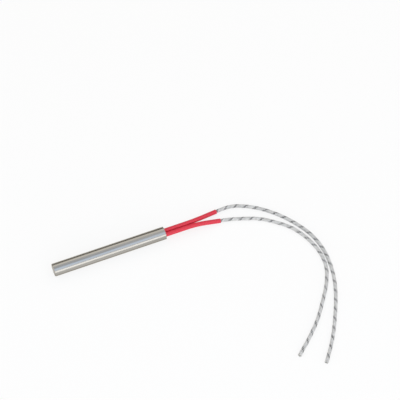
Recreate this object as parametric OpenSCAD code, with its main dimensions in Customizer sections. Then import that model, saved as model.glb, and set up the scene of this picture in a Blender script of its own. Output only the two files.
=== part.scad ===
// Cartridge heater with two sleeved leads, lying on its side.
// The origin is the centre of the sheath's open end. +X points out along the leads and +Z is up.

/* [Sheath] */
// Outside diameter of the sheath
sheath_d = 10; // [8.8:0.1:12]
// Length of the sheath
sheath_len = 90; // [60:1:200]
// Wall of the sheath
sheath_wall = 0.8; // [0.5:0.05:0.9]
// Rounding of the sheath's edge at the closed end
edge_r = 0.7; // [0.2:0.05:0.9]
// Break of the sheath's inner edge at the mouth
mouth_chamfer = 0.25; // [0.1:0.05:0.4]
// Thickness of the welded end disc
disc_t = 2.5; // [1.5:0.1:5]

/* [Heating element] */
// Thickness of the compacted powder round the winding
fill_t = 0.45; // [0.2:0.05:0.8]
// Diameter of the resistance wire
wire_d = 0.5; // [0.3:0.05:0.6]
// Full turns of the winding
coil_turns = 24; // [10:1:30]
// Free length beyond each end of the core, where a wire tail runs in to its pin
tail_room = 1.6; // [1.2:0.1:3]
// Thickness of the ceramic disc under the core
base_t = 4; // [2:0.5:8]
// Thickness of the ceramic disc at the lead end
cap_t = 4; // [2:0.5:8]

/* [Mouth] */
// Length of the cement plug
seal_t = 8; // [6:0.5:12]
// Depth of the plug's face below the mouth
seal_recess = 0.5; // [0.2:0.1:1.5]
// Length of sleeve held in the plug
sleeve_seat = 3; // [1:0.5:4]

/* [Terminals] */
// Diameter of the terminal pins
pin_d = 1.2; // [0.8:0.1:1.3]
// Length of the short pin inside the core
short_pin_depth = 12; // [5:1:20]
// Outside diameter of the crimp barrels
crimp_d = 2.1; // [2:0.05:2.2]
// Length of the crimp barrels
crimp_len = 9; // [6:0.5:10]
// Depth of the crimp dents
dent_depth = 0.25; // [0.1:0.05:0.3]
// Radius of the crimp tool's punch
dent_r = 1.6; // [1:0.1:2.5]

/* [Sleeves] */
// Outside diameter of the sleeves
sleeve_d = 3.5; // [3.4:0.05:3.8]
// Wall of the sleeves
sleeve_wall = 0.25; // [0.2:0.05:0.3]
// Length of the sleeves
sleeve_len = 48.5; // [42:0.5:54]
// Straight run of the sleeves, from their seat to their bend
sleeve_run = 21; // [13:1:24]
// Length of the bend of the sleeves
sleeve_bend = 16; // [6:1:17]
// How far sleeve a swings out to its side at its end
spread_a = 2; // [1:0.1:4]
// How far sleeve b swings out to its side at its end
spread_b = 3.4; // [1:0.1:4.5]

/* [Leads] */
// Outside diameter of the braided leads
lead_d = 2.8; // [2:0.1:2.8]
// Diameter of the stranded conductor
conductor_d = 1.1; // [0.7:0.1:1.2]

/* [Fits] */
// Radial gap of the pieces packed in the sheath
pack_gap = 0.02; // [0.01:0.01:0.05]
// Radial gap of the pins in the ceramics and of wires in the crimps
pin_gap = 0.05; // [0.02:0.01:0.1]
// Gap between the winding and what lies inside and outside it
coil_gap = 0.08; // [0.06:0.01:0.12]
// Gap between the two sleeves at the mouth
sleeve_gap = 0.1; // [0.05:0.05:0.3]
// Radial gap of the sleeves in the plug
seat_gap = 0.1; // [0.1:0.05:0.2]
// Gap between pin and conductor inside a crimp
butt_gap = 0.2; // [0.1:0.1:1]

/* [Hidden] */
$fn = 64;
// Overlap of a cutting body past the face that it cuts
cut = 1;

steel = [0.72, 0.72, 0.70];
nickel = [0.66, 0.65, 0.60];
ceramic = [0.93, 0.91, 0.85];
cement = [0.90, 0.84, 0.76];
wire_grey = [0.45, 0.43, 0.40];
sleeve_red = [0.86, 0.18, 0.26];
braid_white = [0.88, 0.88, 0.87];

// Stations along the axis, from the closed end to the mouth
bore_r = sheath_d / 2 - sheath_wall;
fill_r = bore_r - pack_gap;
x_closed = -sheath_len;
x_disc = x_closed + disc_t;
x_base = x_disc + base_t;
x_core = x_base + tail_room;
x_seal_face = -seal_recess;
x_seal = x_seal_face - seal_t;
x_cap = x_seal - cap_t;
x_core_top = x_cap - tail_room;
x_sleeve = x_seal_face - sleeve_seat;

// The two sides: a lies towards -Y and b towards +Y
side_a = -1;
side_b = 1;
pin_y = (sleeve_d + sleeve_gap) / 2;
pin_hole_r = pin_d / 2 + pin_gap;

// Core and winding: the powder lines the sheath, the winding lies in the powder and the core in the winding
coil_bore_r = fill_r - fill_t;
coil_r = coil_bore_r - coil_gap - wire_d / 2;
core_r = coil_r - wire_d / 2 - coil_gap;

// Flat tails of the winding, which run in to the pins, and its pitch
tail_r = pin_y + pin_d / 2 + pin_gap + wire_d / 2;
x_tail = x_core - tail_room / 2;
x_tail_top = x_core_top + tail_room / 2;
tail_angle = 180;
helix_angle = 360 * coil_turns + 180;
coil_step = 18;
wire_sides = 6;

// Joint of pin and lead, straight along the pin and inside the sleeve
crimp_setback = 1;
x_crimp = x_sleeve + crimp_setback;
x_crimp_end = x_crimp + crimp_len;
x_pin_end = x_crimp + (crimp_len - butt_gap) / 2;
x_conductor = x_pin_end + butt_gap;
bare_len = 1;
x_lead = x_crimp_end + bare_len;
dent_places = [0.25, 0.75];

// Sleeve axis: straight over the crimp, one bend out and down, and straight on to the surface under the sheath
floor_z = -sheath_d / 2;
sleeve_drop = (sheath_d - sleeve_d) / 2;
sleeve_tip = sleeve_len - sleeve_run - sleeve_bend;
function spread(side) = side == side_a ? spread_a : spread_b;
function swing(side) = norm([spread(side), sleeve_drop]);
function bend_roll(side) = atan2(-sleeve_drop, side * spread(side));
function bend_turn(side) = swing(side) / (sleeve_bend / 2 + sleeve_tip) * 180 / PI;
function bend_r(side) = sleeve_bend / bend_turn(side) * 180 / PI;

// Point of a sleeve's axis, at a length along it from its seat
function sleeve_point(side, s) =
    let (turn = bend_turn(side),
         a = turn * max(0, min(1, (s - sleeve_run) / sleeve_bend)),
         tip = max(0, s - sleeve_run - sleeve_bend),
         ahead = min(s, sleeve_run) + bend_r(side) * sin(a) + tip * cos(turn),
         out = bend_r(side) * (1 - cos(a)) + tip * sin(turn))
    [x_sleeve + ahead,
     side * pin_y + out * cos(bend_roll(side)),
     out * sin(bend_roll(side))];

// Axis of a sleeve from a length along it to its end, with a point at each ring
sleeve_sides = 24;
bend_steps = 6;
function sleeve_axis(side, start) =
    let (stations = concat([start],
                           [for (i = [0:bend_steps]) sleeve_run + sleeve_bend * i / bend_steps],
                           [sleeve_len]))
    [for (s = stations) sleeve_point(side, s)];

// Leads: plan of each route on the surface, from the end of the sleeve to the cut end
lead_sides = 12;
lead_z = floor_z + lead_d / 2;
route_a = [[50.6, -4.7], [56.6, -6.5], [63.7, -8.9], [70.8, -11.7], [77.4, -15.4], [83.4, -20],
           [89.3, -25.1], [94.6, -31], [98.5, -37.6], [101.6, -44.4], [103.8, -51.6], [105, -58.7],
           [105, -65.7], [103.8, -72.8], [100.9, -79.9], [97.1, -87], [92.6, -93.5], [87.8, -100.1],
           [82.9, -106.6], [77.5, -112.9], [71.8, -118.5], [66.1, -123.8], [60.7, -128.4], [55.4, -133.1]];
route_b = [[52.1, 5.9], [59.2, 5.1], [65.7, 2.6], [72.3, -1], [78.9, -5.7], [84.9, -11.1], [90.6, -17.2],
           [95.9, -24.1], [100.5, -31.3], [104.4, -39], [107, -47.1], [108.4, -55.6], [108.6, -64.1],
           [107.8, -72.6], [106.2, -80.9], [103.8, -89], [100.7, -96.9], [97.3, -104.4], [93.6, -111.6],
           [89.8, -118.7], [85.8, -125.6], [81.3, -132.5], [76.4, -139.1], [71.4, -145.6]];
function lead_axis(side) =
    concat(sleeve_axis(side, x_lead - x_sleeve),
           [for (p = side == side_a ? route_a : route_b) [p.x, p.y, lead_z]]);

// Faces of a tube of rings, with its two ends closed
function tube_faces(rings, sides) =
    concat([[for (k = [0:sides - 1]) k]],
           [for (i = [0:rings - 2], k = [0:sides - 1])
               let (next = (k + 1) % sides)
               [i * sides + k, (i + 1) * sides + k, (i + 1) * sides + next, i * sides + next]],
           [[for (k = [sides - 1:-1:0]) (rings - 1) * sides + k]]);

// Faces of an open pipe, whose outer rings come before its inner ones
function pipe_faces(rings, sides) =
    let (inner = rings * sides,
         last = (rings - 1) * sides)
    [for (k = [0:sides - 1])
        let (next = (k + 1) % sides)
        each concat([for (i = [0:sides:last - sides])
                        [i + k, i + sides + k, i + sides + next, i + next]],
                    [for (i = [inner:sides:inner + last - sides])
                        [i + next, i + sides + next, i + sides + k, i + k]],
                    [[k, next, inner + next, inner + k],
                     [last + next, last + k, inner + last + k, inner + last + next]])];

function unit(v) = v / norm(v);

// Ring of a level tube round a point of its axis, square to the way the axis runs
function level_ring(axis, i, r, sides) =
    let (last = len(axis) - 1,
         ahead = unit(axis[min(i + 1, last)] - axis[max(i - 1, 0)]),
         across = unit(cross(ahead, [0, 0, 1])),
         up = cross(across, ahead))
    [for (k = [0:sides - 1])
        axis[i] + r * (cos(360 * k / sides) * across + sin(360 * k / sides) * up)];

// Axis of the winding as [x, radius, angle], tail by tail, from pin a to pin b
function coil_axis() =
    concat([for (a = [0:coil_step:tail_angle - coil_step])
                [x_tail, tail_r + (coil_r - tail_r) * a / tail_angle, a + 180]],
           [for (a = [0:coil_step:helix_angle])
                [x_tail + (x_tail_top - x_tail) * a / helix_angle, coil_r, a]],
           [for (a = [coil_step:coil_step:tail_angle])
                [x_tail_top, coil_r + (tail_r - coil_r) * a / tail_angle, a + 180]]);

function coil_ring(p, r, sides) =
    [for (k = [0:sides - 1])
        let (out = p[1] + r * cos(360 * k / sides))
        [p[0] + r * sin(360 * k / sides), out * cos(p[2]), out * sin(p[2])]];

// Shapes shared by several pieces

// Round bar along +X
module bar_x(r, x0, x1) {
    translate([x0, 0, 0])
        rotate([0, 90, 0])
            cylinder(r = r, h = x1 - x0);
}

// Disc in the sheath with the two pin holes
module pin_disc(r, x0, x1) {
    difference() {
        bar_x(r, x0, x1);
        for (side = [side_a, side_b])
            at_pin(side)
                bar_x(pin_hole_r, x0 - cut, x1 + cut);
    }
}

// Moves its children to the axis of a pin
module at_pin(side) {
    translate([0, side * pin_y, 0])
        children();
}

// Sheath and what closes it

module sheath() {
    rounding = min(edge_r, sheath_wall);
    color(steel)
        translate([x_closed, 0, 0])
            rotate([0, 90, 0])
                rotate_extrude()
                    difference() {
                        translate([bore_r, 0])
                            square([sheath_wall, sheath_len]);
                        translate([sheath_d / 2 - rounding, 0])
                            difference() {
                                translate([0, -cut])
                                    square([rounding + cut, rounding + cut]);
                                translate([0, rounding])
                                    circle(rounding);
                            }
                        polygon([[bore_r - cut, sheath_len - mouth_chamfer - cut],
                                 [bore_r + mouth_chamfer + cut, sheath_len + cut],
                                 [bore_r - cut, sheath_len + cut]]);
                    }
}

module end_disc() {
    color(steel)
        bar_x(fill_r, x_closed, x_disc);
}

module end_seal() {
    color(cement)
        difference() {
            pin_disc(fill_r, x_seal, x_seal_face);
            for (side = [side_a, side_b])
                at_pin(side)
                    bar_x(sleeve_d / 2 + seat_gap, x_sleeve, x_seal_face + cut);
        }
}

// Heating element

module base_insulator() {
    color(ceramic)
        bar_x(fill_r, x_disc, x_base);
}

module winding_core() {
    color(ceramic)
        pin_disc(core_r, x_core, x_core_top);
}

module heating_coil() {
    axis = coil_axis();
    points = [for (p = axis) each coil_ring(p, wire_d / 2, wire_sides)];
    color(wire_grey)
        polyhedron(points, tube_faces(len(axis), wire_sides));
}

module powder_fill() {
    color(ceramic)
        difference() {
            bar_x(fill_r, x_base, x_cap);
            bar_x(coil_bore_r, x_base - cut, x_cap + cut);
        }
}

module lead_end_insulator() {
    color(ceramic)
        pin_disc(fill_r, x_cap, x_seal);
}

// Terminals

// The long pin passes through the core to the far tail of the winding
module terminal_pin_a() {
    color(nickel)
        at_pin(side_a)
            bar_x(pin_d / 2, x_tail - wire_d, x_pin_end);
}

module terminal_pin_b() {
    color(nickel)
        at_pin(side_b)
            bar_x(pin_d / 2, x_core_top - short_pin_depth, x_pin_end);
}

// Barrel with a dent over the pin and one over the conductor
module crimp(side) {
    color(nickel)
        at_pin(side)
            difference() {
                bar_x(crimp_d / 2, x_crimp, x_crimp_end);
                bar_x(pin_hole_r, x_crimp - cut, x_crimp_end + cut);
                for (place = dent_places)
                    translate([x_crimp + crimp_len * place, 0, crimp_d / 2 + dent_r - dent_depth])
                        rotate([90, 0, 0])
                            cylinder(r = dent_r, h = crimp_d + 2 * cut, center = true);
            }
}

module crimp_a() {
    crimp(side_a);
}

module crimp_b() {
    crimp(side_b);
}

// Leads and their sleeves

module conductor(side) {
    color(nickel)
        at_pin(side)
            bar_x(conductor_d / 2, x_conductor, x_lead - butt_gap);
}

module conductor_a() {
    conductor(side_a);
}

module conductor_b() {
    conductor(side_b);
}

module sleeve(side) {
    axis = sleeve_axis(side, 0);
    points = [for (r = [sleeve_d / 2, sleeve_d / 2 - sleeve_wall], i = [0:len(axis) - 1])
                 each level_ring(axis, i, r, sleeve_sides)];
    color(sleeve_red)
        polyhedron(points, pipe_faces(len(axis), sleeve_sides));
}

module sleeve_a() {
    sleeve(side_a);
}

module sleeve_b() {
    sleeve(side_b);
}

module lead(side) {
    axis = lead_axis(side);
    points = [for (i = [0:len(axis) - 1]) each level_ring(axis, i, lead_d / 2, lead_sides)];
    color(braid_white)
        polyhedron(points, tube_faces(len(axis), lead_sides));
}

module lead_a() {
    lead(side_a);
}

module lead_b() {
    lead(side_b);
}

sheath();
end_disc();
base_insulator();
winding_core();
heating_coil();
powder_fill();
lead_end_insulator();
end_seal();
terminal_pin_a();
terminal_pin_b();
crimp_a();
crimp_b();
conductor_a();
conductor_b();
sleeve_a();
sleeve_b();
lead_a();
lead_b();
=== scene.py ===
"""Looks of a cartridge heater with two sleeved, glass-braided leads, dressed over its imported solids."""

import math
import random

import bpy
import numpy as np
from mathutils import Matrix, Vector


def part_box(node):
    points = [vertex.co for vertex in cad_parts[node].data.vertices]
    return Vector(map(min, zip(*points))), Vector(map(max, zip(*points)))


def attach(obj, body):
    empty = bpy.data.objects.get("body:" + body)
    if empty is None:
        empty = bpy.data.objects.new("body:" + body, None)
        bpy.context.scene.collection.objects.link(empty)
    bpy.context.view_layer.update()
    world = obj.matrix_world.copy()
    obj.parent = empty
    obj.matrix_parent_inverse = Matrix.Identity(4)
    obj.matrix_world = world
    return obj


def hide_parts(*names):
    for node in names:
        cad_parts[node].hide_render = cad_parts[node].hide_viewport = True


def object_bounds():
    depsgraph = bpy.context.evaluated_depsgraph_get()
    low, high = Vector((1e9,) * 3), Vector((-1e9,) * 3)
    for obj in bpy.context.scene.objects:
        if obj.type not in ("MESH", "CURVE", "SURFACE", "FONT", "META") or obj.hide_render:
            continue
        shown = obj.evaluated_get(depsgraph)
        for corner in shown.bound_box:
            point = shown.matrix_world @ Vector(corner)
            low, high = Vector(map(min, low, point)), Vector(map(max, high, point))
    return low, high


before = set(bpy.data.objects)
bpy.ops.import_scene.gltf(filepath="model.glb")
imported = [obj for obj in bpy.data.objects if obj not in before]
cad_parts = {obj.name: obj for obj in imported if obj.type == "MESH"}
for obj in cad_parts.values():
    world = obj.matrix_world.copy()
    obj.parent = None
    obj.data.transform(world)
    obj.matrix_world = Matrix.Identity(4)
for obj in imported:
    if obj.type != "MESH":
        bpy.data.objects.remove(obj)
cad_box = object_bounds()

# Camera
VIEW_TARGET = Vector((0.03635, 0.01778, 0.0))
VIEW_AZIMUTH = math.radians(-21.6)
VIEW_ELEVATION = math.radians(57.5)
VIEW_DISTANCE = 1.244
VIEW_LENS = 144.0
VIEW_SENSOR = 36.0
VIEW_NEAR = 0.05
VIEW_FAR = 50.0

# Sheath, measured on its solid, and the surface that it lies on; all sizes are in metres
SHEATH_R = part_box("sheath")[1].z
MOUTH_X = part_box("sheath")[1].x
CLOSED_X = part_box("sheath")[0].x
SHEATH_WALL = 0.0008
SHEATH_SIDES = 160
EDGE_ROUND = 0.0007
MOUTH_CHAMFER = 0.00025
RIM_BREAK = 0.00006
FLOOR_Z = cad_box[0].z

# Welded disc: width and rise of each step of its face, from its rim inwards, and the marks on it
WELD_STEPS = [(0.00012, -0.00006), (0.00022, 0.00006), (0.00025, 0.0), (0.00016, -0.00005), (0.0004, 0.0)]
TURNING_RADIANS_PER_M = 42000.0
TINT_DRIFT = 0.0012

# Cement plug: bite into the wall, grip on the sleeves, raised rim, collars, bores and lumps
CEMENT_BITE = 0.00025
CEMENT_GRIP = 0.00012
CEMENT_SIDES = 96
CEMENT_RIM_R = 0.0004
CEMENT_RIM_SIDES = 16
COLLAR_FOOT = 0.00055
COLLAR_LIP = 0.0001
COLLAR_HEIGHT = 0.0009
COLLAR_RISE = 0.00015
PIN_ROOM = 0.00015
PIN_BORE_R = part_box("terminal_pin_a")[1].z + PIN_ROOM
BORE_PAST = 0.0005
CEMENT_VOXEL = 0.00016
LUMP_SIZE = 0.0012
LUMP_HEIGHT = 0.00018
LUMP_LEVEL = 0.65

# Sleeves: straight over the crimp, one bend out and down, straight on
SLEEVE_D = 0.0035
SLEEVE_WALL = 0.00025
SLEEVE_LENGTH = 0.0485
SLEEVE_RUN = 0.021
SLEEVE_BEND = 0.016
SLEEVE_TIP = SLEEVE_LENGTH - SLEEVE_RUN - SLEEVE_BEND
SLEEVE_GAP = 0.0001
SLEEVE_EDGE = 0.00006
SLEEVE_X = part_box("sleeve_a")[0].x
SLEEVE_DROP = SHEATH_R - SLEEVE_D / 2
SLEEVE_SIDES = 64
RUN_STEPS = 12
BEND_STEPS = 16
TIP_STEPS = 6
WEAVE_YARNS = 12
WEAVE_RADIANS_PER_M = 3600.0
SIDE = {"a": -1, "b": 1}
SPREAD = {"a": 0.0020, "b": 0.0034}

# Leads: plan of each route on the surface, from the end of the sleeve to the cut end
LEAD_D = 0.0028
LEAD_Z = FLOOR_Z + LEAD_D / 2
LEAD_HIDDEN = 0.024
CURVE_STEPS = 24
SMOOTH_PASSES = 60
ROUTE = {
    "a": [
        (0.0506, -0.0047), (0.0566, -0.0065), (0.0637, -0.0089), (0.0708, -0.0117), (0.0774, -0.0154),
        (0.0834, -0.0200), (0.0893, -0.0251), (0.0946, -0.0310), (0.0985, -0.0376), (0.1016, -0.0444),
        (0.1038, -0.0516), (0.1050, -0.0587), (0.1050, -0.0657), (0.1038, -0.0728), (0.1009, -0.0799),
        (0.0971, -0.0870), (0.0926, -0.0935), (0.0878, -0.1001), (0.0829, -0.1066), (0.0775, -0.1129),
        (0.0718, -0.1185), (0.0661, -0.1238), (0.0607, -0.1284), (0.0554, -0.1331),
    ],
    "b": [
        (0.0521, 0.0059), (0.0592, 0.0051), (0.0657, 0.0026), (0.0723, -0.0010), (0.0789, -0.0057),
        (0.0849, -0.0111), (0.0906, -0.0172), (0.0959, -0.0241), (0.1005, -0.0313), (0.1044, -0.0390),
        (0.1070, -0.0471), (0.1084, -0.0556), (0.1086, -0.0641), (0.1078, -0.0726), (0.1062, -0.0809),
        (0.1038, -0.0890), (0.1007, -0.0969), (0.0973, -0.1044), (0.0936, -0.1116), (0.0898, -0.1187),
        (0.0858, -0.1256), (0.0813, -0.1325), (0.0764, -0.1391), (0.0714, -0.1456),
    ],
}

# Braid of a lead: yarns laid both ways round, one over and one under
YARNS_EACH_WAY = 8
BRAID_LAY = 0.0079
RINGS_PER_LAY = 48
YARN_COVER = 0.84
YARN_HALF_THICK = 0.00007
YARN_WAVE = 0.00007
WAVE_FLATNESS = 1.25
YARN_SECTION = [(-1.0, -0.4), (-0.45, 1.0), (0.45, 1.0), (1.0, -0.4)]
TRACER_YARNS = (0, 1)
TRACER_WIDTH = 1.2

# Cut end of the braid: how far its yarns open and how unevenly they end
FRAY_LENGTH = 0.0010
FRAY_OUT = 0.00014
FRAY_SHARE = (0.2, 1.0)
FRAY_RAGGED = (-0.35, 0.25)
FRAY_SEED = 7

# Under the braid: the wound lapping, and the wires of the conductor in layers
LAPPING_SIDES = 16
LAPPING_EVERY = 8
LAPPING_ROOM = 0.00002
LAPPING_SETBACK = 0.0001
STRAND_D = 0.00021
STRAND_SIDES = 8
STRAND_LENGTH = 0.004
STRAND_RADIANS_PER_M = 120.0
STRAND_LAYERS = [(0, 1), (1, 6), (2, 12)]

# Finishes of a lead, by the place of each in its mesh
WHITE_YARN, TRACER_YARN, LAPPING, WIRE = range(4)

# Light: the tent by height, the softboxes, the card that the sheath's upper edge reflects, and the floor
TENT = [(0.0, (1.0, 0.995, 0.98)), (0.5, (0.965, 0.955, 0.925)), (0.8, (0.90, 0.895, 0.885)),
        (1.0, (0.77, 0.81, 0.89))]
SOFTBOXES = {
    "back_softbox": {
        "place": (0.1, 1.0, 1.2), "size": (2.0, 0.5), "glow": 0.36, "color": (1.0, 0.89, 0.66)},
    "top_softbox": {
        "place": (0.0, -0.935, 1.335), "size": (2.4, 1.2), "glow": 0.62, "color": (0.32, 0.58, 1.0)},
    "front_softbox": {
        "place": (-0.1, -1.5, 0.375), "size": (2.6, 0.72), "glow": 1.20, "color": (0.94, 0.965, 1.0)},
}
CARD_SIZE = (3.0, 0.45)
CARD_PLACE = (0.2, 1.0)
CARD_COLOR = (0.10, 0.09, 0.07)
FLOOR_SIZE = 12.0
FLOOR_COLOR = (0.93, 0.905, 0.87)
FLOOR_GLOW_SHARE = 0.8

# Turn that lays a round primitive's axis along X
ALONG_X = (0, math.pi / 2, 0)


# Tools shared by the pieces

def start_clean():
    """Leaves object mode on and nothing selected."""
    if bpy.context.object and bpy.context.object.mode != "OBJECT":
        bpy.ops.object.mode_set(mode="OBJECT")
    bpy.ops.object.select_all(action="DESELECT")


def settle(name):
    """Applies the active object's place to its mesh and names it."""
    bpy.ops.object.transform_apply(location=True, rotation=True, scale=True)
    piece = bpy.context.object
    piece.name = name
    piece.data.name = name
    return piece


def round_bar(name, radius, x0, x1, sides, y=0.0, ends="NGON"):
    """A bar or, with open ends, a tube's skin, along X from one place to another."""
    start_clean()
    bpy.ops.mesh.primitive_cylinder_add(vertices=sides, radius=radius, depth=x1 - x0, end_fill_type=ends,
                                        rotation=ALONG_X, location=((x0 + x1) / 2, y, 0))
    return settle(name)


def clear_picks(piece, kind):
    """Makes edges or faces the kind that is picked, with none of them picked yet."""
    bpy.context.view_layer.objects.active = piece
    bpy.ops.object.mode_set(mode="EDIT")
    bpy.ops.mesh.select_mode(type=kind)
    bpy.ops.mesh.select_all(action="DESELECT")
    bpy.ops.object.mode_set(mode="OBJECT")


def pick_edges(piece, test):
    """Selects the edges whose two ends both pass a test, and opens the piece for editing."""
    clear_picks(piece, "EDGE")
    points = piece.data.vertices
    for edge in piece.data.edges:
        edge.select = all(test(points[i].co) for i in edge.vertices)
    bpy.ops.object.mode_set(mode="EDIT")


def pick_faces(piece, test):
    """Selects the faces that pass a test, and opens the piece for editing."""
    clear_picks(piece, "FACE")
    for face in piece.data.polygons:
        face.select = test(face)
    bpy.ops.object.mode_set(mode="EDIT")


def close_edit():
    """Goes back to object mode."""
    bpy.ops.object.mode_set(mode="OBJECT")


def near(value, wanted, within=0.00001):
    """Whether a value is the wanted one, apart from rounding."""
    return abs(value - wanted) < within


def off_axis(point):
    """Distance of a point from the sheath's axis."""
    return math.hypot(point.y, point.z)


def bevel_rim(piece, x, radius, width, segments):
    """Bevels a round rim about the sheath's axis, given by its place along X and its radius."""
    pick_edges(piece, lambda p: near(p.x, x) and near(off_axis(p), radius))
    bpy.ops.mesh.bevel(offset=width, segments=segments, affect="EDGES")
    close_edit()


def apply_modifier(piece, kind, **settings):
    """Adds a modifier to a piece, sets it and applies it."""
    bpy.context.view_layer.objects.active = piece
    modifier = piece.modifiers.new(kind.lower(), kind)
    for key, value in settings.items():
        setattr(modifier, key, value)
    bpy.ops.object.modifier_apply(modifier=modifier.name)


def bore(piece, radius, x0, x1, y):
    """Cuts a round hole along X into a piece."""
    cutter = round_bar("cutter", radius, x0, x1, SLEEVE_SIDES, y)
    apply_modifier(piece, "BOOLEAN", operation="DIFFERENCE", object=cutter, solver="EXACT", use_self=True)
    start_clean()
    cutter.select_set(True)
    bpy.ops.object.delete()


def smooth_shade(piece, degrees):
    """Shades a piece smooth, apart from edges sharper than an angle."""
    start_clean()
    piece.select_set(True)
    bpy.context.view_layer.objects.active = piece
    bpy.ops.object.shade_smooth_by_angle(angle=math.radians(degrees))
    piece.select_set(False)


def seat(piece, slot, *nodes):
    """Gives a new piece its body and hides the solids that it stands for; the slot is not used."""
    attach(piece, "root")
    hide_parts(*nodes)


def dress(piece, finish, slot, *nodes):
    """Seats a new piece and gives it its one finish."""
    piece.data.materials.clear()
    piece.data.materials.append(finish)
    seat(piece, slot, *nodes)


# Material nodes

def set_stops(ramp, stops):
    """Fills a colour ramp from a list of places and colours."""
    points = ramp.color_ramp.elements
    while len(points) < len(stops):
        points.new(0.5)
    for point, (place, color) in zip(points, stops):
        point.position = place
        point.color = (*color, 1.0)


class Finish:
    """A material under way: its nodes, its links and its Principled shader."""

    def __init__(self, name, color, roughness, metallic=0.0):
        self.material = bpy.data.materials.new(name)
        self.material.use_nodes = True
        self.tree = self.material.node_tree
        self.shader = self.tree.nodes["Principled BSDF"]
        self.shader.inputs["Base Color"].default_value = (*color, 1.0)
        self.shader.inputs["Roughness"].default_value = roughness
        self.shader.inputs["Metallic"].default_value = metallic

    def node(self, kind, **settings):
        """A new node, with its sockets or its settings given by name."""
        made = self.tree.nodes.new(kind)
        for key, value in settings.items():
            if key in made.inputs:
                made.inputs[key].default_value = value
            else:
                setattr(made, key, value)
        return made

    def link(self, out, into):
        self.tree.links.new(out, into)

    def set(self, socket, out):
        """Leads a node's output to a socket of the shader."""
        self.link(out, self.shader.inputs[socket])

    def place(self, stretch=(1, 1, 1), uv=None):
        """Object coordinates, or those of a UV map, times a number along each axis."""
        mapping = self.node("ShaderNodeMapping", Scale=stretch)
        if uv:
            source = self.node("ShaderNodeUVMap", uv_map=uv)
            self.link(source.outputs["UV"], mapping.inputs["Vector"])
        else:
            source = self.node("ShaderNodeTexCoord")
            self.link(source.outputs["Object"], mapping.inputs["Vector"])
        return mapping.outputs["Vector"]

    def axes(self, place):
        """The three numbers of a place."""
        parts = self.node("ShaderNodeSeparateXYZ")
        self.link(place, parts.inputs["Vector"])
        return parts.outputs

    def noise(self, stretch, detail=3.0, uv=None):
        """Noise from 0 to 1, finer the more its place is stretched."""
        made = self.node("ShaderNodeTexNoise", Scale=1.0, Detail=detail)
        self.link(self.place(stretch, uv), made.inputs["Vector"])
        return made.outputs["Fac"]

    def ramp(self, factor, stops):
        """Colour along a factor, from a list of places and colours."""
        made = self.node("ShaderNodeValToRGB")
        set_stops(made, stops)
        self.link(factor, made.inputs["Fac"])
        return made.outputs["Color"]

    def spread(self, factor, low, high):
        """A number between two values, by a factor."""
        made = self.node("ShaderNodeMapRange")
        made.inputs["To Min"].default_value = low
        made.inputs["To Max"].default_value = high
        self.link(factor, made.inputs["Value"])
        return made.outputs["Result"]

    def math(self, operation, first, second=0.0):
        """One sum on numbers or outputs of other nodes."""
        made = self.node("ShaderNodeMath", operation=operation)
        for socket, value in zip(made.inputs, (first, second)):
            if isinstance(value, (int, float)):
                socket.default_value = value
            else:
                self.link(value, socket)
        return made.outputs["Value"]

    def mean(self, first, second):
        return self.math("MULTIPLY", self.math("ADD", first, second), 0.5)

    def axis_distance(self):
        """Distance from the sheath's axis, in metres."""
        along = self.axes(self.place())
        squares = [self.math("MULTIPLY", along[axis], along[axis]) for axis in "YZ"]
        return self.math("SQRT", self.math("ADD", *squares))

    def bump(self, height, depth, strength=1.0):
        made = self.node("ShaderNodeBump", Strength=strength, Distance=depth)
        self.link(height, made.inputs["Height"])
        self.set("Normal", made.outputs["Normal"])


def ground_steel():
    """Centreless-ground stainless: fine rings round the axis and faint streaks along it."""
    dark, plain, light = (0.37, 0.353, 0.323), (0.415, 0.398, 0.368), (0.45, 0.435, 0.408)
    finish = Finish("ground_steel", plain, roughness=0.25, metallic=1.0)
    # Specular tint: painted shade, which darkens and warms the reflection towards the tube's edges.
    finish.shader.inputs["Specular Tint"].default_value = (0.50, 0.46, 0.385, 1.0)
    rings = finish.noise((9000, 60, 60), detail=2.0)
    streaks = finish.noise((14, 900, 900))
    finish.set("Base Color", finish.ramp(streaks, [(0.30, dark), (0.5, plain), (0.72, light)]))
    finish.set("Roughness", finish.spread(rings, low=0.13, high=0.23))
    finish.bump(rings, depth=0.0000015)
    return finish.material


def weld_steel():
    """Welded end disc: turned rings, straw and brown heat tints towards the weld at its rim."""
    centre, face, straw, brown, rim = ((0.41, 0.40, 0.385), (0.40, 0.385, 0.36), (0.42, 0.36, 0.25),
                                       (0.33, 0.25, 0.17), (0.27, 0.25, 0.26))
    finish = Finish("weld_steel", (0.40, 0.39, 0.37), roughness=0.3, metallic=1.0)
    out = finish.axis_distance()
    cloud = finish.noise((450, 450, 450), detail=4.0)
    rings = finish.math("SINE", finish.math("MULTIPLY", out, TURNING_RADIANS_PER_M))
    drift = finish.math("MULTIPLY", finish.math("SUBTRACT", cloud, 0.5), TINT_DRIFT)
    tint = finish.math("DIVIDE", finish.math("ADD", out, drift), SHEATH_R - SHEATH_WALL)
    finish.set("Base Color", finish.ramp(tint, [
        (0.0, centre), (0.62, face), (0.80, straw), (0.90, brown), (0.97, rim)]))
    finish.set("Roughness", finish.spread(cloud, low=0.24, high=0.42))
    finish.bump(finish.math("ADD", finish.math("MULTIPLY", rings, 0.25), cloud), depth=0.000012)
    return finish.material


def cream_cement():
    """Matt cement with fine grains and pale patches."""
    dark, plain, light = (0.74, 0.64, 0.54), (0.86, 0.78, 0.68), (0.91, 0.86, 0.79)
    finish = Finish("cream_cement", plain, roughness=0.9)
    patches = finish.noise((900, 900, 900), detail=5.0)
    grains = finish.noise((9000, 9000, 9000), detail=2.0)
    finish.set("Base Color", finish.ramp(patches, [(0.3, dark), (0.5, plain), (0.7, light)]))
    finish.bump(grains, depth=0.00004)
    return finish.material


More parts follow.
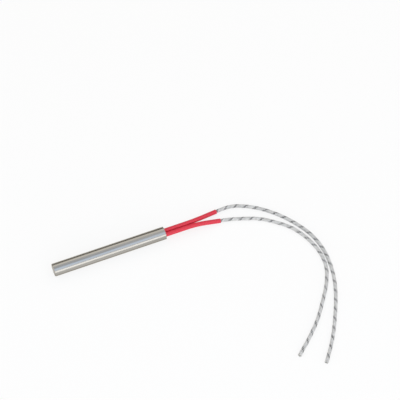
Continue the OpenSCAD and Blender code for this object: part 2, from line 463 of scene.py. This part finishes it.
def red_sleeving():
    """Silicone coat on a glass braid, whose crossings show faintly through."""
    dark, plain, light = (0.59, 0.015, 0.037), (0.69, 0.022, 0.048), (0.75, 0.034, 0.062)
    finish = Finish("red_sleeving", plain, roughness=0.42)
    wrap = finish.axes(finish.place(uv="wrap"))
    around = finish.math("MULTIPLY", wrap["X"], WEAVE_YARNS * math.tau)
    along = finish.math("MULTIPLY", wrap["Y"], WEAVE_RADIANS_PER_M)
    one_way = finish.math("SINE", finish.math("ADD", around, along))
    other_way = finish.math("SINE", finish.math("SUBTRACT", around, along))
    crossings = finish.math("MULTIPLY", one_way, other_way)
    cloud = finish.noise((700, 700, 700), detail=4.0)
    weave = finish.math("ADD", finish.math("MULTIPLY", crossings, 0.2), 0.5)
    finish.set("Base Color", finish.ramp(finish.mean(cloud, weave), [
        (0.34, dark), (0.5, plain), (0.66, light)]))
    finish.set("Roughness", finish.spread(cloud, low=0.36, high=0.52))
    finish.bump(finish.math("ADD", crossings, finish.math("MULTIPLY", cloud, 0.5)), depth=0.00004)
    return finish.material


def glass_yarn(name, dark, plain, light):
    """Yarn of many fine filaments, which run along it."""
    finish = Finish(name, plain, roughness=0.5)
    filaments = finish.noise((9, 700, 1), detail=2.0, uv="yarn")
    tone = finish.noise((400, 400, 400))
    finish.set("Base Color", finish.ramp(finish.mean(filaments, tone), [
        (0.36, dark), (0.5, plain), (0.62, light)]))
    finish.set("Roughness", finish.spread(filaments, low=0.4, high=0.62))
    finish.bump(filaments, depth=0.00002, strength=0.7)
    return finish.material


def white_lapping():
    """Glass lapping under the braid, wound tight."""
    dark, light = (0.52, 0.52, 0.50), (0.72, 0.72, 0.70)
    finish = Finish("white_lapping", (0.66, 0.66, 0.64), roughness=0.7)
    wound = finish.noise((2500, 2500, 2500))
    finish.set("Base Color", finish.ramp(wound, [(0.3, dark), (0.7, light)]))
    finish.bump(wound, depth=0.00003)
    return finish.material


def drawn_metal(name, dark, plain, roughness):
    """Drawn wire or pin: fine lines along X and a soft change of tone."""
    finish = Finish(name, plain, roughness, metallic=1.0)
    lines = finish.noise((60, 6000, 6000), detail=2.0)
    finish.set("Base Color", finish.ramp(lines, [(0.3, dark), (0.6, plain)]))
    finish.set("Roughness", finish.spread(lines, low=roughness - 0.06, high=roughness + 0.1))
    finish.bump(lines, depth=0.000004)
    return finish.material


def white_magnesia():
    """Pressed magnesia: matt, off-white, with fine specks."""
    speck, plain, light = (0.70, 0.67, 0.60), (0.88, 0.86, 0.80), (0.93, 0.92, 0.87)
    finish = Finish("white_magnesia", (0.9, 0.88, 0.82), roughness=0.85)
    specks = finish.noise((3500, 3500, 3500), detail=4.0)
    finish.set("Base Color", finish.ramp(specks, [(0.28, speck), (0.42, plain), (0.7, light)]))
    finish.bump(specks, depth=0.00003)
    return finish.material


# Camera, and the lines that sleeves and leads follow

def place_camera():
    """Camera at the photo's angle."""
    back = Vector((math.sin(VIEW_AZIMUTH) * math.cos(VIEW_ELEVATION),
                   -math.cos(VIEW_AZIMUTH) * math.cos(VIEW_ELEVATION),
                   math.sin(VIEW_ELEVATION)))
    lens = bpy.data.cameras.new("camera")
    lens.lens = VIEW_LENS
    lens.sensor_width = VIEW_SENSOR
    lens.clip_start = VIEW_NEAR
    lens.clip_end = VIEW_FAR
    camera = bpy.data.objects.new("camera", lens)
    camera.location = VIEW_TARGET + VIEW_DISTANCE * back
    camera.rotation_euler = (-back).to_track_quat("-Z", "Y").to_euler()
    bpy.context.scene.collection.objects.link(camera)
    bpy.context.scene.camera = camera


def seat_y(side):
    """Place across of a sleeve's seat, and of the pin and the crimp in it."""
    return SIDE[side] * (SLEEVE_D + SLEEVE_GAP) / 2


class Bend:
    """The bend of one sleeve: its plane, its turn and its radius."""

    def __init__(self, side):
        swing = math.hypot(SPREAD[side], SLEEVE_DROP)
        self.seat = Vector((SLEEVE_X, seat_y(side), 0.0))
        self.out = Vector((0.0, SIDE[side] * SPREAD[side], -SLEEVE_DROP)) / swing
        self.turn = swing / (SLEEVE_BEND / 2 + SLEEVE_TIP)
        self.radius = SLEEVE_BEND / self.turn
        self.centre = self.seat + Vector((SLEEVE_RUN, 0.0, 0.0)) + self.radius * self.out
        self.axis = Vector((1.0, 0.0, 0.0)).cross(self.out)

    def point(self, s):
        """Point of the sleeve's axis, at a length along it from its seat."""
        angle = self.turn * min(1.0, max(0.0, (s - SLEEVE_RUN) / SLEEVE_BEND))
        tip = max(0.0, s - SLEEVE_RUN - SLEEVE_BEND)
        ahead = min(s, SLEEVE_RUN) + self.radius * math.sin(angle) + tip * math.cos(self.turn)
        out = self.radius * (1 - math.cos(angle)) + tip * math.sin(self.turn)
        return self.seat + Vector((ahead, 0.0, 0.0)) + out * self.out

    def tip_way(self):
        """The way the sleeve runs after its bend."""
        return Vector((math.cos(self.turn), 0.0, 0.0)) + math.sin(self.turn) * self.out


def lead_points(side):
    """Points that a lead follows, from inside its sleeve to its cut end."""
    bend = Bend(side)
    hidden = [SLEEVE_LENGTH - LEAD_HIDDEN, SLEEVE_RUN + SLEEVE_BEND / 2, SLEEVE_RUN + SLEEVE_BEND,
              SLEEVE_LENGTH]
    return [bend.point(s) for s in hidden] + [Vector((x, y, LEAD_Z)) for x, y in ROUTE[side]]


def smooth_line(points, step):
    """A smooth line along points, no lower than a lead lies, with a point at each step of its length."""
    ends = [2 * points[0] - points[1], *points, 2 * points[-1] - points[-2]]
    fine = []
    for p0, p1, p2, p3 in zip(ends, ends[1:], ends[2:], ends[3:]):
        for t in np.linspace(0.0, 1.0, CURVE_STEPS, endpoint=False):
            fine.append(0.5 * (2 * p1 + (p2 - p0) * t + (2 * p0 - 5 * p1 + 4 * p2 - p3) * t ** 2
                               + (3 * p1 - p0 - 3 * p2 + p3) * t ** 3))
    line = np.array([*fine, points[-1]], float)
    for _ in range(SMOOTH_PASSES):
        line[1:-1] = (line[:-2] + 2 * line[1:-1] + line[2:]) / 4
    line[:, 2] = np.maximum(line[:, 2], LEAD_Z)
    reach = np.concatenate([[0.0], np.cumsum(np.linalg.norm(np.diff(line, axis=0), axis=1))])
    stations = np.linspace(0.0, reach[-1], int(round(reach[-1] / step)) + 1)
    return stations, np.stack([np.interp(stations, reach, line[:, k]) for k in range(3)], axis=1)


# Leads

class Mesh:
    """Vertices, faces, UVs and finishes of a mesh under way."""

    def __init__(self):
        self.points, self.faces, self.uvs, self.slots = [], [], [], []
        self.count = 0

    def sweep(self, rings, uv_along, slot):
        """A closed skin over rings of points, with UVs round and along it, and its two ends closed."""
        steps, sides = rings.shape[:2]
        base = self.count
        self.points.append(rings.reshape(-1, 3))
        self.count += steps * sides
        for i in range(steps - 1):
            for k in range(sides):
                after = (k + 1) % sides
                a, b = base + i * sides, base + (i + 1) * sides
                self.faces.append((a + k, b + k, b + after, a + after))
                u0, u1, v0, v1 = k / sides, (k + 1) / sides, uv_along[i], uv_along[i + 1]
                self.uvs += [(u0, v0), (u0, v1), (u1, v1), (u1, v0)]
                self.slots.append(slot)
        for ring, order in ((base, 1), (base + (steps - 1) * sides, -1)):
            self.faces.append(tuple(ring + k for k in range(sides))[::order])
            self.uvs += [(0.5, uv_along[0])] * sides
            self.slots.append(slot)

    def make(self, name, uv_name, finishes):
        """The finished object, with nothing of it under the floor."""
        mesh = bpy.data.meshes.new(name)
        points = np.concatenate(self.points)
        points[:, 2] = np.maximum(points[:, 2], FLOOR_Z)
        mesh.from_pydata(points.tolist(), [], self.faces)
        layer = mesh.uv_layers.new(name=uv_name)
        layer.data.foreach_set("uv", np.array(self.uvs, np.float32).ravel())
        for finish in finishes:
            mesh.materials.append(finish)
        mesh.polygons.foreach_set("material_index", self.slots)
        mesh.polygons.foreach_set("use_smooth", [True] * len(self.faces))
        mesh.update()
        piece = bpy.data.objects.new(name, mesh)
        bpy.context.scene.collection.objects.link(piece)
        return piece


class Line:
    """A lead's line as arrays: stations, points, and the ways ahead, across and up at each."""

    def __init__(self, points, step):
        self.s, self.at = smooth_line(points, step)
        ahead = np.gradient(self.at, axis=0)
        self.ahead = ahead / np.linalg.norm(ahead, axis=1)[:, None]
        across = np.cross(self.ahead, (0.0, 0.0, 1.0))
        self.across = across / np.linalg.norm(across, axis=1)[:, None]
        self.up = np.cross(self.across, self.ahead)

    def index(self, before_end):
        """Number of the station that lies a length before the cut end."""
        return int((self.s[-1] - before_end) / (self.s[1] - self.s[0]))

    def rings(self, angle, radius, shift, first=0):
        """Points at angles and radii round the line, from its first station on, shifted along it."""
        at, ahead, across, up = (way[first:, None] for way in (self.at, self.ahead, self.across, self.up))
        angle, radius, shift = (np.atleast_2d(x)[..., None] for x in (angle, radius, shift))
        return at + shift * ahead + radius * (np.cos(angle) * across + np.sin(angle) * up)


def braid(mesh, line):
    """Yarns round a line, each over and under in turn of those that run the other way."""
    middle = LEAD_D / 2 - YARN_WAVE - YARN_HALF_THICK
    slant = math.atan2(math.tau * middle, BRAID_LAY)
    half_width = YARN_COVER * math.tau * middle / YARNS_EACH_WAY * math.cos(slant) / 2
    crossing = 2 * YARNS_EACH_WAY * line.s / BRAID_LAY
    frayed = np.maximum(0.0, line.s - (line.s[-1] - FRAY_LENGTH)) / FRAY_LENGTH
    dice = random.Random(FRAY_SEED)
    section = np.array(YARN_SECTION)
    for way in (1, -1):
        for yarn in range(YARNS_EACH_WAY):
            angle = math.tau * (yarn / YARNS_EACH_WAY + way * line.s / BRAID_LAY)
            over = way * np.cos(math.pi * crossing)
            wave = np.clip(WAVE_FLATNESS * over, -1.0, 1.0) * YARN_WAVE
            fray = FRAY_OUT * dice.uniform(*FRAY_SHARE) * frayed ** 2
            ragged = dice.uniform(*FRAY_RAGGED) * FRAY_LENGTH * frayed
            traced = way == 1 and yarn in TRACER_YARNS
            reach = section[:, 0] * half_width * (TRACER_WIDTH if traced else 1.0)
            rise = (middle + wave + fray)[:, None] + section[:, 1] * YARN_HALF_THICK
            turn = angle[:, None] + reach * math.cos(slant) / middle
            shift = ragged[:, None] - way * reach * math.sin(slant)
            slot = TRACER_YARN if traced else WHITE_YARN
            mesh.sweep(line.rings(turn, rise, shift), line.s / math.cos(slant), slot)


def lapping(mesh, line):
    """Wound glass under the braid, a little shorter than it."""
    pick = np.arange(0, line.index(LAPPING_SETBACK), LAPPING_EVERY)
    angle = np.linspace(0.0, math.tau, LAPPING_SIDES, endpoint=False)
    radius = LEAD_D / 2 - 2 * (YARN_WAVE + YARN_HALF_THICK) - LAPPING_ROOM
    rings = line.rings(np.tile(angle, (len(line.s), 1)), radius, 0.0)
    mesh.sweep(rings[pick], line.s[pick], LAPPING)


def strands(mesh, line):
    """Bare wires of the conductor at the cut end: one, six round it and twelve round those."""
    first = line.index(STRAND_LENGTH)
    round_wire = np.linspace(0.0, math.tau, STRAND_SIDES, endpoint=False)
    twist = (line.s[first:] - line.s[-1]) * STRAND_RADIANS_PER_M
    for layer, wires in STRAND_LAYERS:
        for wire in range(wires):
            lie = twist + math.tau * wire / wires
            x = layer * STRAND_D * np.cos(lie)[:, None] + STRAND_D / 2 * np.cos(round_wire)
            y = layer * STRAND_D * np.sin(lie)[:, None] + STRAND_D / 2 * np.sin(round_wire)
            rings = line.rings(np.arctan2(y, x), np.hypot(x, y), 0.0, first)
            mesh.sweep(rings, line.s[first:], WIRE)


def make_lead(side, finishes):
    """One braided lead with its tracer yarns, from inside its sleeve to its cut end."""
    line = Line(lead_points(side), BRAID_LAY / RINGS_PER_LAY)
    mesh = Mesh()
    braid(mesh, line)
    lapping(mesh, line)
    strands(mesh, line)
    lead = mesh.make(f"braided_lead_{side}", "yarn", finishes)
    seat(lead, "glass_braid", f"lead_{side}")


# Sheath and its two ends

def make_sheath(finish):
    """Drawn tube with a round edge at the closed end and broken edges at the mouth."""
    tube = round_bar("sheath_tube", SHEATH_R, CLOSED_X, MOUTH_X, SHEATH_SIDES, ends="NOTHING")
    apply_modifier(tube, "SOLIDIFY", thickness=SHEATH_WALL, offset=-1.0, use_even_offset=True)
    bevel_rim(tube, CLOSED_X, SHEATH_R, EDGE_ROUND, segments=8)
    bevel_rim(tube, MOUTH_X, SHEATH_R - SHEATH_WALL, MOUTH_CHAMFER, segments=2)
    bevel_rim(tube, MOUTH_X, SHEATH_R, RIM_BREAK, segments=3)
    smooth_shade(tube, degrees=40)
    dress(tube, finish, "sheath_steel", "sheath")


def make_end_disc(finish):
    """Welded disc: a low bead at its rim and a face that was turned flat."""
    low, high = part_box("end_disc")
    disc = round_bar("welded_disc", high.z, low.x, high.x, SHEATH_SIDES)
    pick_faces(disc, lambda f: near(f.normal.x, -1.0))
    for width, rise in WELD_STEPS:
        bpy.ops.mesh.inset(thickness=width, depth=rise)
    close_edit()
    smooth_shade(disc, degrees=50)
    dress(disc, finish, "sheath_steel", "end_disc")


def make_end_seal(finish):
    """Cement plug with its bores, which climbs a little round the sleeves and up the sheath's wall."""
    low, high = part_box("end_seal")
    radius = high.z + CEMENT_BITE
    plug = round_bar("cement_plug", radius, low.x, high.x, CEMENT_SIDES)
    start_clean()
    bpy.ops.mesh.primitive_torus_add(major_radius=radius - CEMENT_RIM_R, minor_radius=CEMENT_RIM_R,
                                     major_segments=CEMENT_SIDES, minor_segments=CEMENT_RIM_SIDES,
                                     rotation=ALONG_X, location=(high.x, 0, 0))
    raised = [settle("cement_rim")]
    for side in SIDE:
        start_clean()
        bpy.ops.mesh.primitive_cone_add(vertices=SLEEVE_SIDES, radius1=SLEEVE_D / 2 + COLLAR_FOOT,
                                        radius2=SLEEVE_D / 2 - COLLAR_LIP, depth=COLLAR_HEIGHT,
                                        rotation=ALONG_X, location=(high.x + COLLAR_RISE, seat_y(side), 0))
        raised.append(settle(f"cement_collar_{side}"))
    start_clean()
    for piece in (*raised, plug):
        piece.select_set(True)
    bpy.context.view_layer.objects.active = plug
    bpy.ops.object.join()
    for side in SIDE:
        bore(plug, PIN_BORE_R, low.x - BORE_PAST, SLEEVE_X + BORE_PAST, seat_y(side))
        bore(plug, SLEEVE_D / 2 - CEMENT_GRIP, SLEEVE_X, high.x + SHEATH_R, seat_y(side))
    apply_modifier(plug, "REMESH", mode="VOXEL", voxel_size=CEMENT_VOXEL)
    apply_modifier(plug, "SMOOTH", factor=0.5, iterations=4)
    lumps = bpy.data.textures.new("cement_lumps", "CLOUDS")
    lumps.noise_scale = LUMP_SIZE
    apply_modifier(plug, "DISPLACE", texture=lumps, texture_coords="LOCAL", strength=LUMP_HEIGHT,
                   mid_level=LUMP_LEVEL)
    smooth_shade(plug, degrees=60)
    dress(plug, finish, "cement", "end_seal")


# Sleeves

def wrap_uv(piece, bend):
    """UVs of a sleeve: turns round it, and metres along it."""
    layer = piece.data.uv_layers.new(name="wrap")
    points = piece.data.vertices
    for face in piece.data.polygons:
        corners = []
        for i in face.vertices:
            flat = points[i].co - bend.centre
            x, out, height = flat.x, flat.dot(bend.out), flat.dot(bend.axis)
            angle = min(bend.turn, max(0.0, math.atan2(x, -out)))
            if x < 0:
                along, reach = x, -out
            else:
                along = bend.radius * angle + (x * math.cos(angle) + out * math.sin(angle))
                reach = x * math.sin(angle) - out * math.cos(angle)
            corners.append([math.atan2(height, reach - bend.radius) / math.tau, along])
        # A face across the seam counts its turns on
        if max(c[0] for c in corners) - min(c[0] for c in corners) > 0.5:
            for corner in corners:
                corner[0] += 1.0 if corner[0] < 0 else 0.0
        for loop, corner in zip(face.loop_indices, corners):
            layer.data[loop].uv = corner


def draw_out(step, count):
    """Draws the picked ring of edges out by a number of equal steps."""
    for _ in range(count):
        bpy.ops.mesh.extrude_edges_move(TRANSFORM_OT_translate={"value": tuple(step)})


def make_sleeve(side, finish):
    """Coated sleeve: a ring drawn out over the crimp, spun round its bend and drawn out again."""
    bend = Bend(side)
    start_clean()
    bpy.ops.mesh.primitive_circle_add(vertices=SLEEVE_SIDES, radius=SLEEVE_D / 2, rotation=ALONG_X,
                                      location=bend.seat)
    sleeve = settle(f"red_sleeve_{side}")
    bpy.ops.object.mode_set(mode="EDIT")
    bpy.ops.mesh.select_all(action="SELECT")
    draw_out((SLEEVE_RUN / RUN_STEPS, 0, 0), RUN_STEPS)
    bpy.ops.mesh.spin(steps=BEND_STEPS, angle=bend.turn, center=bend.centre, axis=-bend.axis)
    draw_out(bend.tip_way() * (SLEEVE_TIP / TIP_STEPS), TIP_STEPS)
    bpy.ops.mesh.select_all(action="SELECT")
    bpy.ops.mesh.remove_doubles(threshold=0.000001)
    bpy.ops.mesh.normals_make_consistent(inside=False)
    close_edit()
    apply_modifier(sleeve, "SOLIDIFY", thickness=SLEEVE_WALL, offset=-1.0)
    apply_modifier(sleeve, "BEVEL", width=SLEEVE_EDGE, segments=2, limit_method="ANGLE",
                   angle_limit=math.radians(60))
    wrap_uv(sleeve, bend)
    smooth_shade(sleeve, degrees=45)
    dress(sleeve, finish, "sleeve_red", f"sleeve_{side}")


# Solids that stay as they are

def dress_solids(magnesia, wire, nickel):
    """Gives the hidden solids their finishes."""
    finishes = {
        "base_insulator": magnesia, "winding_core": magnesia, "powder_fill": magnesia,
        "lead_end_insulator": magnesia, "heating_coil": wire,
        "terminal_pin_a": nickel, "terminal_pin_b": nickel, "crimp_a": nickel, "crimp_b": nickel,
        "conductor_a": nickel, "conductor_b": nickel,
    }
    for node, finish in finishes.items():
        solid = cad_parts[node]
        solid.data.materials.clear()
        solid.data.materials.append(finish)


# Floor and light

def make_floor():
    """Wide pale floor, which camera and metal see near white and which still takes the shadow."""
    start_clean()
    bpy.ops.mesh.primitive_plane_add(size=FLOOR_SIZE, location=(0, 0, FLOOR_Z))
    floor = settle("floor")
    finish = Finish("white_floor", FLOOR_COLOR, roughness=1.0)
    finish.shader.inputs["Specular IOR Level"].default_value = 0.0
    rays = finish.node("ShaderNodeLightPath").outputs
    seen = finish.math("MAXIMUM", rays["Is Camera Ray"], rays["Is Glossy Ray"])
    seen = finish.math("MAXIMUM", seen, rays["Is Transmission Ray"])
    glow = finish.node("ShaderNodeEmission")
    mix = finish.node("ShaderNodeMixShader")
    finish.link(finish.math("MULTIPLY", seen, FLOOR_GLOW_SHARE), mix.inputs["Fac"])
    finish.link(finish.shader.outputs["BSDF"], mix.inputs[1])
    finish.link(glow.outputs["Emission"], mix.inputs[2])
    finish.link(mix.outputs["Shader"], finish.tree.nodes["Material Output"].inputs["Surface"])
    floor.data.materials.append(finish.material)


def make_world():
    """Soft tent of light: warm white at the horizon, bluer and greyer overhead."""
    world = bpy.data.worlds.new("light_tent")
    world.use_nodes = True
    bpy.context.scene.world = world
    tree = world.node_tree
    sky = tree.nodes["Background"]
    sky.inputs["Strength"].default_value = 1.0
    place = tree.nodes.new("ShaderNodeTexCoord")
    parts = tree.nodes.new("ShaderNodeSeparateXYZ")
    ramp = tree.nodes.new("ShaderNodeValToRGB")
    set_stops(ramp, TENT)
    tree.links.new(place.outputs["Generated"], parts.inputs["Vector"])
    tree.links.new(parts.outputs["Z"], ramp.inputs["Fac"])
    tree.links.new(ramp.outputs["Color"], sky.inputs["Color"])


def make_softbox(name, place, size, glow, color):
    """Lamp that faces the heater and adds a given glow to the tent behind it."""
    lamp = bpy.data.lights.new(name, "AREA")
    lamp.shape = "RECTANGLE"
    lamp.size, lamp.size_y = size
    lamp.energy = glow * math.pi * size[0] * size[1]
    lamp.color = color
    held = bpy.data.objects.new(name, lamp)
    held.location = place
    held.rotation_euler = (VIEW_TARGET - Vector(place)).to_track_quat("-Z", "Y").to_euler()
    bpy.context.scene.collection.objects.link(held)


def make_dark_card():
    """Dark card low behind the heater, out of the camera's sight, which draws the sheath's upper edge."""
    start_clean()
    bpy.ops.mesh.primitive_plane_add(size=1.0, rotation=(math.pi / 2, 0, 0))
    card = bpy.context.object
    card.scale = (*CARD_SIZE, 1.0)
    card.location = (*CARD_PLACE, FLOOR_Z + CARD_SIZE[1] / 2)
    settle("dark_card")
    card.data.materials.append(Finish("card_grey", CARD_COLOR, roughness=1.0).material)
    card.visible_camera = False


# The whole heater

place_camera()
white_yarn = glass_yarn("white_yarn", dark=(0.48, 0.47, 0.455), plain=(0.66, 0.645, 0.62),
                        light=(0.77, 0.755, 0.73))
tracer_yarn = glass_yarn("tracer_yarn", dark=(0.012, 0.012, 0.014), plain=(0.03, 0.03, 0.033),
                         light=(0.08, 0.08, 0.085))
bright_nickel = drawn_metal("bright_nickel", dark=(0.50, 0.48, 0.43), plain=(0.66, 0.65, 0.60),
                            roughness=0.3)
heating_wire = drawn_metal("heating_wire", dark=(0.25, 0.23, 0.21), plain=(0.42, 0.40, 0.37),
                           roughness=0.45)
lead_finishes = [white_yarn, tracer_yarn, white_lapping(), bright_nickel]
for lead_side in SIDE:
    make_lead(lead_side, lead_finishes)

sleeve_finish = red_sleeving()
for sleeve_side in SIDE:
    make_sleeve(sleeve_side, sleeve_finish)
make_sheath(ground_steel())
make_end_disc(weld_steel())
make_end_seal(cream_cement())
dress_solids(white_magnesia(), heating_wire, bright_nickel)

make_floor()
make_world()
for softbox, settings in SOFTBOXES.items():
    make_softbox(softbox, **settings)
make_dark_card()
bpy.context.scene.view_settings.view_transform = "Standard"
